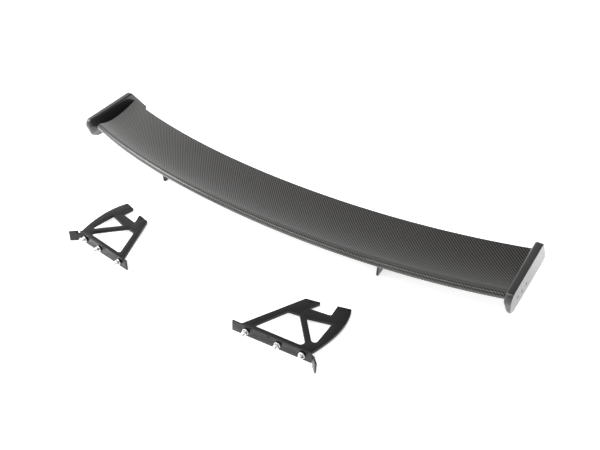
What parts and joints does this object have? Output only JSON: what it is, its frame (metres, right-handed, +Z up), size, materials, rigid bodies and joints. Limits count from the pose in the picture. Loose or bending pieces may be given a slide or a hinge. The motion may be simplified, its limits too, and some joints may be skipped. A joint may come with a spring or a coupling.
{
  "type": "racing rear wing",
  "caption": "Curved carbon rear wing blade with end plates and mounting fins, with two loose aluminium uprights whose studs and nuts fix it to a boot lid.",
  "frame": {"origin": "centre of the laid-out kit's bounding box, on the floor", "axes": "+X across the car along the blade, +Y towards the trailing edge, +Z up"},
  "size_m": [1.458, 0.6198, 0.1338],
  "materials": {
    "carbon_gloss": "clear-coated 2x2 twill carbon fibre",
    "carbon_plate": "smooth clear-coated black carbon",
    "core_foam": "bonded core",
    "black_aluminium": "satin black anodised",
    "black_steel": "black oxide",
    "zinc_steel": "bright zinc",
    "brass": "plain",
    "black_rubber": "matt"
  },
  "bodies": {
    "wing": {"upper_skin": "carbon_gloss", "lower_skin": "carbon_gloss", "main_spar": "core_foam", "trailing_edge_core": "core_foam", "fin_ribs": "core_foam", "tip_rib_left": "core_foam", "tip_rib_right": "core_foam", "end_plate_left": "carbon_plate", "end_plate_right": "carbon_plate", "end_plate_inserts_left": "brass", "end_plate_inserts_right": "brass", "end_plate_screws_left": "black_steel", "end_plate_screws_right": "black_steel", "mounting_fin_left": "black_aluminium", "mounting_fin_right": "black_aluminium", "fin_inserts_left": "brass", "fin_inserts_right": "brass", "fin_screws_left": "black_steel", "fin_screws_right": "black_steel"},
    "stand_left": {"upright_left": "black_aluminium", "base_flange_left": "black_aluminium", "flange_screws_left": "black_steel", "studs_left": "zinc_steel", "washers_left": "black_rubber"},
    "outer_nut_left_spin_body": {"outer_nut_left": "zinc_steel"},
    "middle_nut_left_spin_body": {"middle_nut_left": "zinc_steel"},
    "cap_nut_left_spin_body": {"cap_nut_left": "zinc_steel"},
    "stand_right": {"upright_right": "black_aluminium", "base_flange_right": "black_aluminium", "flange_screws_right": "black_steel", "studs_right": "zinc_steel", "washers_right": "black_rubber"},
    "outer_nut_right_spin_body": {"outer_nut_right": "zinc_steel"},
    "middle_nut_right_spin_body": {"middle_nut_right": "zinc_steel"},
    "cap_nut_right_spin_body": {"cap_nut_right": "zinc_steel"}
  },
  "joints": [
    {"name": "stand_left_lift", "type": "slide", "parent": "wing", "child": "stand_left", "axis": [0, 0, 1], "range_m": [0, 0.25]},
    {"name": "outer_nut_left_spin", "type": "hinge", "parent": "stand_left", "child": "outer_nut_left_spin_body", "pos_m": [-0.20628, -0.29675, 0.01678], "axis": [-0.0727, -0.9894, 0.1254], "continuous": true},
    {"name": "middle_nut_left_spin", "type": "hinge", "parent": "stand_left", "child": "middle_nut_left_spin_body", "pos_m": [-0.29006, -0.2906, 0.01678], "axis": [-0.0727, -0.9894, 0.1254], "continuous": true},
    {"name": "cap_nut_left_spin", "type": "hinge", "parent": "stand_left", "child": "cap_nut_left_spin_body", "pos_m": [-0.35189, -0.28606, 0.01678], "axis": [-0.0727, -0.9894, 0.1254], "continuous": true},
    {"name": "stand_right_lift", "type": "slide", "parent": "wing", "child": "stand_right", "axis": [0, 0, 1], "range_m": [0, 0.25]},
    {"name": "outer_nut_right_spin", "type": "hinge", "parent": "stand_right", "child": "outer_nut_right_spin_body", "pos_m": [0.21648, -0.29517, 0.01678], "axis": [0.1123, -0.9857, 0.1254], "continuous": true},
    {"name": "middle_nut_right_spin", "type": "hinge", "parent": "stand_right", "child": "middle_nut_right_spin_body", "pos_m": [0.29994, -0.28566, 0.01678], "axis": [0.1123, -0.9857, 0.1254], "continuous": true},
    {"name": "cap_nut_right_spin", "type": "hinge", "parent": "stand_right", "child": "cap_nut_right_spin_body", "pos_m": [0.36154, -0.27864, 0.01678], "axis": [0.1123, -0.9857, 0.1254], "continuous": true}
  ]
}
